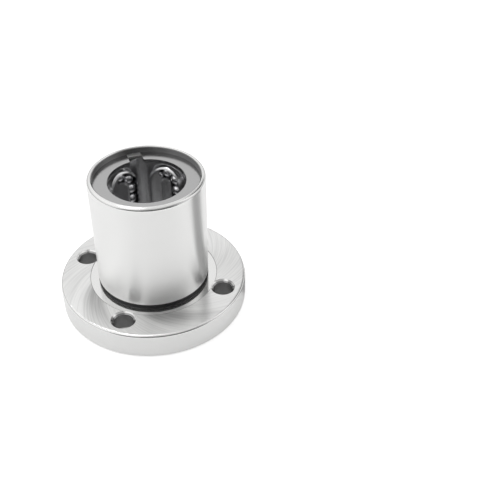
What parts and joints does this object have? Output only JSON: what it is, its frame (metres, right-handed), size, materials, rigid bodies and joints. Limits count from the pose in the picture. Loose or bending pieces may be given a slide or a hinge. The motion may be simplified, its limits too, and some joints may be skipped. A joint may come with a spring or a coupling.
{
  "type": "flanged linear ball bearing",
  "caption": "Flanged linear ball bearing: ground steel sleeve with a round bolt-on flange, and recirculating ball circuits in a stamped retainer held by split end rings.",
  "frame": {"origin": "centre of the flange's outer face, which is also the middle of the part's footprint", "axes": "+Z along the shaft, from the flange towards the sleeve's plain end; the four flange holes lie at 45 degrees between X and Y"},
  "size_m": [0.054, 0.054, 0.042],
  "materials": {
    "ground_bearing_steel": "ground",
    "stamped_retainer_steel": "stamped, semi-bright",
    "end_ring_steel": "matt, tumbled",
    "ball_steel": "lapped mirror"
  },
  "bodies": {
    "housing": {"flanged_sleeve": "ground_bearing_steel", "ball_retainer": "stamped_retainer_steel", "flange_end_ring": "end_ring_steel", "sleeve_end_ring": "end_ring_steel"},
    "circuit_1_loaded": {"circuit_1_loaded_balls": "ball_steel"},
    "circuit_1_return": {"circuit_1_return_balls": "ball_steel"},
    "circuit_1_upper_turn": {"circuit_1_upper_turn_balls": "ball_steel"},
    "circuit_1_lower_turn": {"circuit_1_lower_turn_balls": "ball_steel"},
    "circuit_2_loaded": {"circuit_2_loaded_balls": "ball_steel"},
    "circuit_2_return": {"circuit_2_return_balls": "ball_steel"},
    "circuit_2_upper_turn": {"circuit_2_upper_turn_balls": "ball_steel"},
    "circuit_2_lower_turn": {"circuit_2_lower_turn_balls": "ball_steel"},
    "circuit_3_loaded": {"circuit_3_loaded_balls": "ball_steel"},
    "circuit_3_return": {"circuit_3_return_balls": "ball_steel"},
    "circuit_3_upper_turn": {"circuit_3_upper_turn_balls": "ball_steel"},
    "circuit_3_lower_turn": {"circuit_3_lower_turn_balls": "ball_steel"},
    "circuit_4_loaded": {"circuit_4_loaded_balls": "ball_steel"},
    "circuit_4_return": {"circuit_4_return_balls": "ball_steel"},
    "circuit_4_upper_turn": {"circuit_4_upper_turn_balls": "ball_steel"},
    "circuit_4_lower_turn": {"circuit_4_lower_turn_balls": "ball_steel"},
    "circuit_5_loaded": {"circuit_5_loaded_balls": "ball_steel"},
    "circuit_5_return": {"circuit_5_return_balls": "ball_steel"},
    "circuit_5_upper_turn": {"circuit_5_upper_turn_balls": "ball_steel"},
    "circuit_5_lower_turn": {"circuit_5_lower_turn_balls": "ball_steel"}
  },
  "joints": [
    {"name": "circuit_1_roll", "type": "slide", "parent": "housing", "child": "circuit_1_loaded", "axis": [0, 0, 1], "range_m": [-0.0017, 0.0017]},
    {"name": "circuit_1_return_run", "type": "slide", "parent": "housing", "child": "circuit_1_return", "axis": [0, 0, -1], "range_m": [-0.00171, 0.00171]},
    {"name": "circuit_1_upper_turn_run", "type": "hinge", "parent": "housing", "child": "circuit_1_upper_turn", "pos_m": [0.00875, 0.0073, 0.03291], "axis": [-0.804, -0.5688, 0.1736], "range_deg": [-30, 30]},
    {"name": "circuit_1_lower_turn_run", "type": "hinge", "parent": "housing", "child": "circuit_1_lower_turn", "pos_m": [0.00875, 0.0073, 0.00909], "axis": [-0.804, -0.5688, -0.1736], "range_deg": [-30, 30]},
    {"name": "circuit_2_roll", "type": "slide", "parent": "housing", "child": "circuit_2_loaded", "axis": [0, 0, 1], "range_m": [-0.0017, 0.0017]},
    {"name": "circuit_2_return_run", "type": "slide", "parent": "housing", "child": "circuit_2_return", "axis": [0, 0, -1], "range_m": [-0.00171, 0.00171]},
    {"name": "circuit_2_upper_turn_run", "type": "hinge", "parent": "housing", "child": "circuit_2_upper_turn", "pos_m": [-0.00424, 0.01058, 0.03291], "axis": [0.2925, -0.9404, 0.1736], "range_deg": [-30, 30]},
    {"name": "circuit_2_lower_turn_run", "type": "hinge", "parent": "housing", "child": "circuit_2_lower_turn", "pos_m": [-0.00424, 0.01058, 0.00909], "axis": [0.2925, -0.9404, -0.1736], "range_deg": [-30, 30]},
    {"name": "circuit_3_roll", "type": "slide", "parent": "housing", "child": "circuit_3_loaded", "axis": [0, 0, 1], "range_m": [-0.0017, 0.0017]},
    {"name": "circuit_3_return_run", "type": "slide", "parent": "housing", "child": "circuit_3_return", "axis": [0, 0, -1], "range_m": [-0.00171, 0.00171]},
    {"name": "circuit_3_upper_turn_run", "type": "hinge", "parent": "housing", "child": "circuit_3_upper_turn", "pos_m": [-0.01137, -0.00076, 0.03291], "axis": [0.9847, -0.0124, 0.1736], "range_deg": [-30, 30]},
    {"name": "circuit_3_lower_turn_run", "type": "hinge", "parent": "housing", "child": "circuit_3_lower_turn", "pos_m": [-0.01137, -0.00076, 0.00909], "axis": [0.9847, -0.0124, -0.1736], "range_deg": [-30, 30]},
    {"name": "circuit_4_roll", "type": "slide", "parent": "housing", "child": "circuit_4_loaded", "axis": [0, 0, 1], "range_m": [-0.0017, 0.0017]},
    {"name": "circuit_4_return_run", "type": "slide", "parent": "housing", "child": "circuit_4_return", "axis": [0, 0, -1], "range_m": [-0.00171, 0.00171]},
    {"name": "circuit_4_upper_turn_run", "type": "hinge", "parent": "housing", "child": "circuit_4_upper_turn", "pos_m": [-0.00279, -0.01105, 0.03291], "axis": [0.3161, 0.9327, 0.1736], "range_deg": [-30, 30]},
    {"name": "circuit_4_lower_turn_run", "type": "hinge", "parent": "housing", "child": "circuit_4_lower_turn", "pos_m": [-0.00279, -0.01105, 0.00909], "axis": [0.3161, 0.9327, -0.1736], "range_deg": [-30, 30]},
    {"name": "circuit_5_roll", "type": "slide", "parent": "housing", "child": "circuit_5_loaded", "axis": [0, 0, 1], "range_m": [-0.0017, 0.0017]},
    {"name": "circuit_5_return_run", "type": "slide", "parent": "housing", "child": "circuit_5_return", "axis": [0, 0, -1], "range_m": [-0.00171, 0.00171]},
    {"name": "circuit_5_upper_turn_run", "type": "hinge", "parent": "housing", "child": "circuit_5_upper_turn", "pos_m": [0.00965, -0.00607, 0.03291], "axis": [-0.7894, 0.5888, 0.1736], "range_deg": [-30, 30]},
    {"name": "circuit_5_lower_turn_run", "type": "hinge", "parent": "housing", "child": "circuit_5_lower_turn", "pos_m": [0.00965, -0.00607, 0.00909], "axis": [-0.7894, 0.5888, -0.1736], "range_deg": [-30, 30]}
  ],
  "couplings": [
    {"joint": "circuit_1_return_run", "follows": "circuit_1_roll", "ratio": 1},
    {"joint": "circuit_1_upper_turn_run", "follows": "circuit_1_roll", "rad_per_m": 307.69},
    {"joint": "circuit_1_lower_turn_run", "follows": "circuit_1_roll", "rad_per_m": 307.69},
    {"joint": "circuit_2_return_run", "follows": "circuit_2_roll", "ratio": 1},
    {"joint": "circuit_2_upper_turn_run", "follows": "circuit_2_roll", "rad_per_m": 307.69},
    {"joint": "circuit_2_lower_turn_run", "follows": "circuit_2_roll", "rad_per_m": 307.69},
    {"joint": "circuit_3_return_run", "follows": "circuit_3_roll", "ratio": 1},
    {"joint": "circuit_3_upper_turn_run", "follows": "circuit_3_roll", "rad_per_m": 307.69},
    {"joint": "circuit_3_lower_turn_run", "follows": "circuit_3_roll", "rad_per_m": 307.69},
    {"joint": "circuit_4_return_run", "follows": "circuit_4_roll", "ratio": 1},
    {"joint": "circuit_4_upper_turn_run", "follows": "circuit_4_roll", "rad_per_m": 307.69},
    {"joint": "circuit_4_lower_turn_run", "follows": "circuit_4_roll", "rad_per_m": 307.69},
    {"joint": "circuit_5_return_run", "follows": "circuit_5_roll", "ratio": 1},
    {"joint": "circuit_5_upper_turn_run", "follows": "circuit_5_roll", "rad_per_m": 307.69},
    {"joint": "circuit_5_lower_turn_run", "follows": "circuit_5_roll", "rad_per_m": 307.69}
  ]
}
